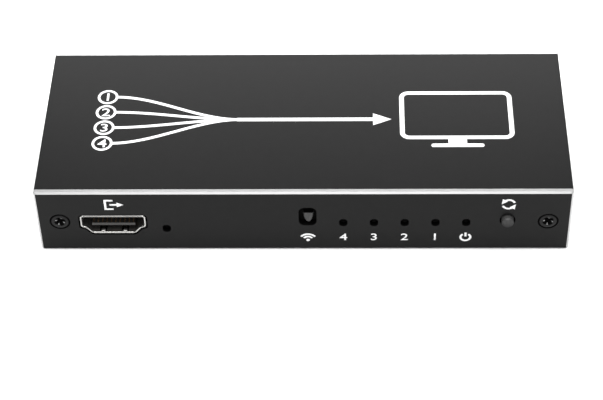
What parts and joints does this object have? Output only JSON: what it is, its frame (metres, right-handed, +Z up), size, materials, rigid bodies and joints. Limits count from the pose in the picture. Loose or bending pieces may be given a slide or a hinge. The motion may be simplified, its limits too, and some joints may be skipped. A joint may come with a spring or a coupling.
{
  "type": "video switch box",
  "caption": "Flat black metal box that routes one of several video inputs to an output, with a push button, indicator lights and an infrared receiver.",
  "frame": {"origin": "centre of the flat underside of the case, midway between the outer faces of the two end panels", "axes": "+X to the right seen from the front, along the case's width; +Y from the front panel to the rear panel; +Z up"},
  "size_m": [0.12, 0.0494, 0.0182],
  "materials": {
    "black_anodised": "matt black anodised, with bare bright chamfers on the end panels",
    "black_screw_steel": "black oxide",
    "plated_steel": "nickel plated sheet",
    "gold_contact": "gold flash",
    "board_laminate": "green solder mask",
    "button_moulding": "dark grey moulded",
    "infrared_epoxy": "dark clear epoxy",
    "clear_epoxy": "diffused clear epoxy",
    "tinned_lead": "tinned",
    "bright_can": "plain drawn can",
    "ceramic_body": "fired ceramic",
    "ferrite": "pressed ferrite",
    "black_moulding": "black moulded",
    "white_print": "white screen print"
  },
  "bodies": {
    "case": {"housing_sleeve": "black_anodised", "front_panel": "black_anodised", "rear_panel": "black_anodised", "front_panel_screws": "black_screw_steel", "rear_panel_screws": "black_screw_steel", "circuit_board": "board_laminate", "output_socket_shell": "plated_steel", "output_socket_insulator": "black_moulding", "output_socket_contacts": "gold_contact", "input_1_socket_shell": "plated_steel", "input_1_socket_insulator": "black_moulding", "input_1_socket_contacts": "gold_contact", "input_2_socket_shell": "plated_steel", "input_2_socket_insulator": "black_moulding", "input_2_socket_contacts": "gold_contact", "input_3_socket_shell": "plated_steel", "input_3_socket_insulator": "black_moulding", "input_3_socket_contacts": "gold_contact", "input_4_socket_shell": "plated_steel", "input_4_socket_insulator": "black_moulding", "input_4_socket_contacts": "gold_contact", "power_socket_shell": "plated_steel", "power_socket_insulator": "black_moulding", "power_socket_contacts": "gold_contact", "switch_body": "black_moulding", "switch_frame": "plated_steel", "switch_dome": "plated_steel", "switch_terminals": "tinned_lead", "indicator_led_1": "clear_epoxy", "indicator_led_2": "clear_epoxy", "indicator_led_3": "clear_epoxy", "indicator_led_4": "clear_epoxy", "power_led": "clear_epoxy", "light_holders": "black_moulding", "light_leads": "tinned_lead", "status_led": "clear_epoxy", "infrared_receiver": "infrared_epoxy", "infrared_receiver_leads": "tinned_lead", "video_switch_chip": "black_moulding", "microcontroller": "black_moulding", "microcontroller_leads": "tinned_lead", "voltage_regulator": "black_moulding", "voltage_regulator_leads": "tinned_lead", "power_inductor": "ferrite", "crystal": "bright_can", "capacitor_cans": "bright_can", "capacitor_bases": "black_moulding", "ceramic_capacitors": "ceramic_body", "resistors": "black_moulding", "surge_arrays": "black_moulding"},
    "button": {"switch_button": "button_moulding"}
  },
  "joints": [
    {"name": "switch_press", "type": "slide", "parent": "case", "child": "button", "axis": [0, 1, 0], "range_m": [0, 0.00025], "stiffness_N_per_m": 6400, "deforming": ["switch_dome"]}
  ]
}
